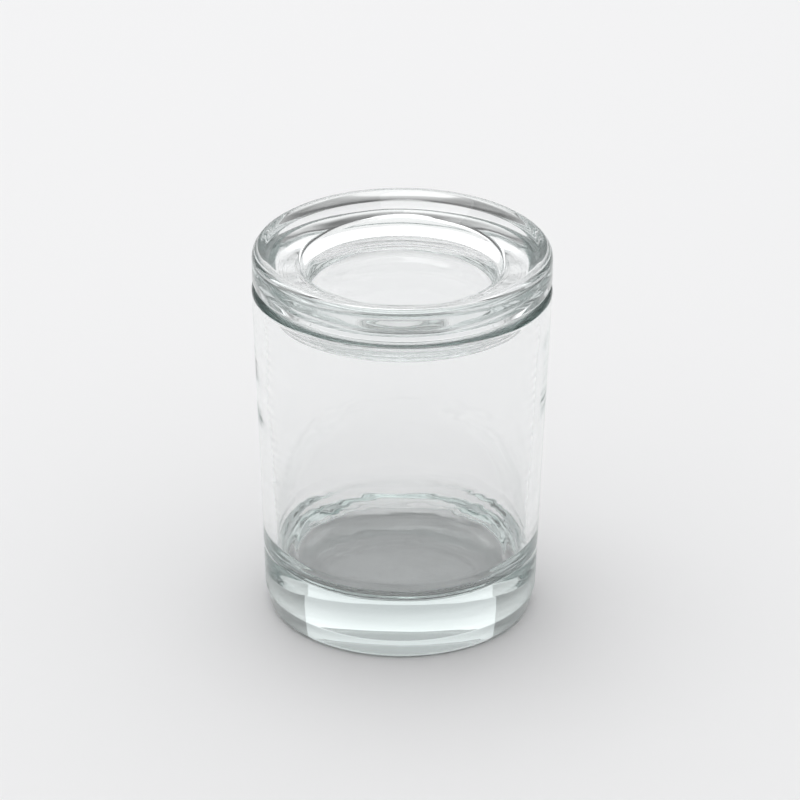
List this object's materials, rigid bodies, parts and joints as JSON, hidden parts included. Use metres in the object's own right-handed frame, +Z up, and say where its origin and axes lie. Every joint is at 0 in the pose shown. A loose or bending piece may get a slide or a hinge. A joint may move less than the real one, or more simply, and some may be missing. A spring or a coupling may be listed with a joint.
{
  "type": "candle jar",
  "caption": "Clear glass candle tumbler with a thick solid base, a slightly flared wall and a dished glass lid whose plug carries a clear finned seal.",
  "frame": {"origin": "centre of the circle that the jar stands on", "axes": "+Z up along the jar's axis, X and Y free because every piece is round"},
  "size_m": [0.0798, 0.0798, 0.1042],
  "materials": {
    "jar_glass": "gloss",
    "lid_glass": "gloss",
    "seal_clear": "gloss"
  },
  "bodies": {
    "jar": {"glass_jar": "jar_glass"},
    "lid": {"glass_lid": "lid_glass", "seal_ring": "seal_clear"}
  },
  "joints": [
    {"name": "lid_lift", "type": "slide", "parent": "jar", "child": "lid", "axis": [0, 0, 1], "range_m": [0, 0.06]}
  ]
}
